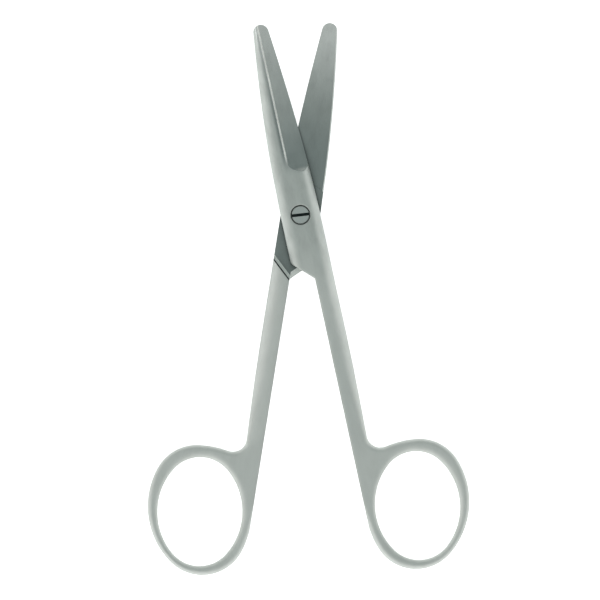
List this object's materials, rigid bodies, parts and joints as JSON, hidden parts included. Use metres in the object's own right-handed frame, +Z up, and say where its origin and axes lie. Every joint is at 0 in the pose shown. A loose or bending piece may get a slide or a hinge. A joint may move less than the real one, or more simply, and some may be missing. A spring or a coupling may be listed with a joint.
{
  "type": "dissecting scissors",
  "caption": "Curved dissecting scissors with blunt round tips, a slotted pivot screw and oval finger rings, shown part open.",
  "frame": {"origin": "where the pivot axis meets the underside of the lock", "axes": "+Y along the middle of the opening from the pivot to the tips, +Z up along the pivot axis, towards which the blades curve; the screw's head is on the +Z side"},
  "size_m": [0.0792, 0.1346, 0.0131],
  "materials": {
    "front_steel": "satin stainless steel",
    "back_steel": "satin stainless steel",
    "screw_steel": "turned stainless steel"
  },
  "bodies": {
    "back": {"back_half": "back_steel", "pivot_screw": "screw_steel"},
    "front": {"front_half": "front_steel"}
  },
  "joints": [
    {"name": "blades_pivot", "type": "hinge", "parent": "back", "child": "front", "pos_m": [0, 0, 0], "axis": [0, 0, 1], "range_deg": [-21.3, 40]}
  ]
}
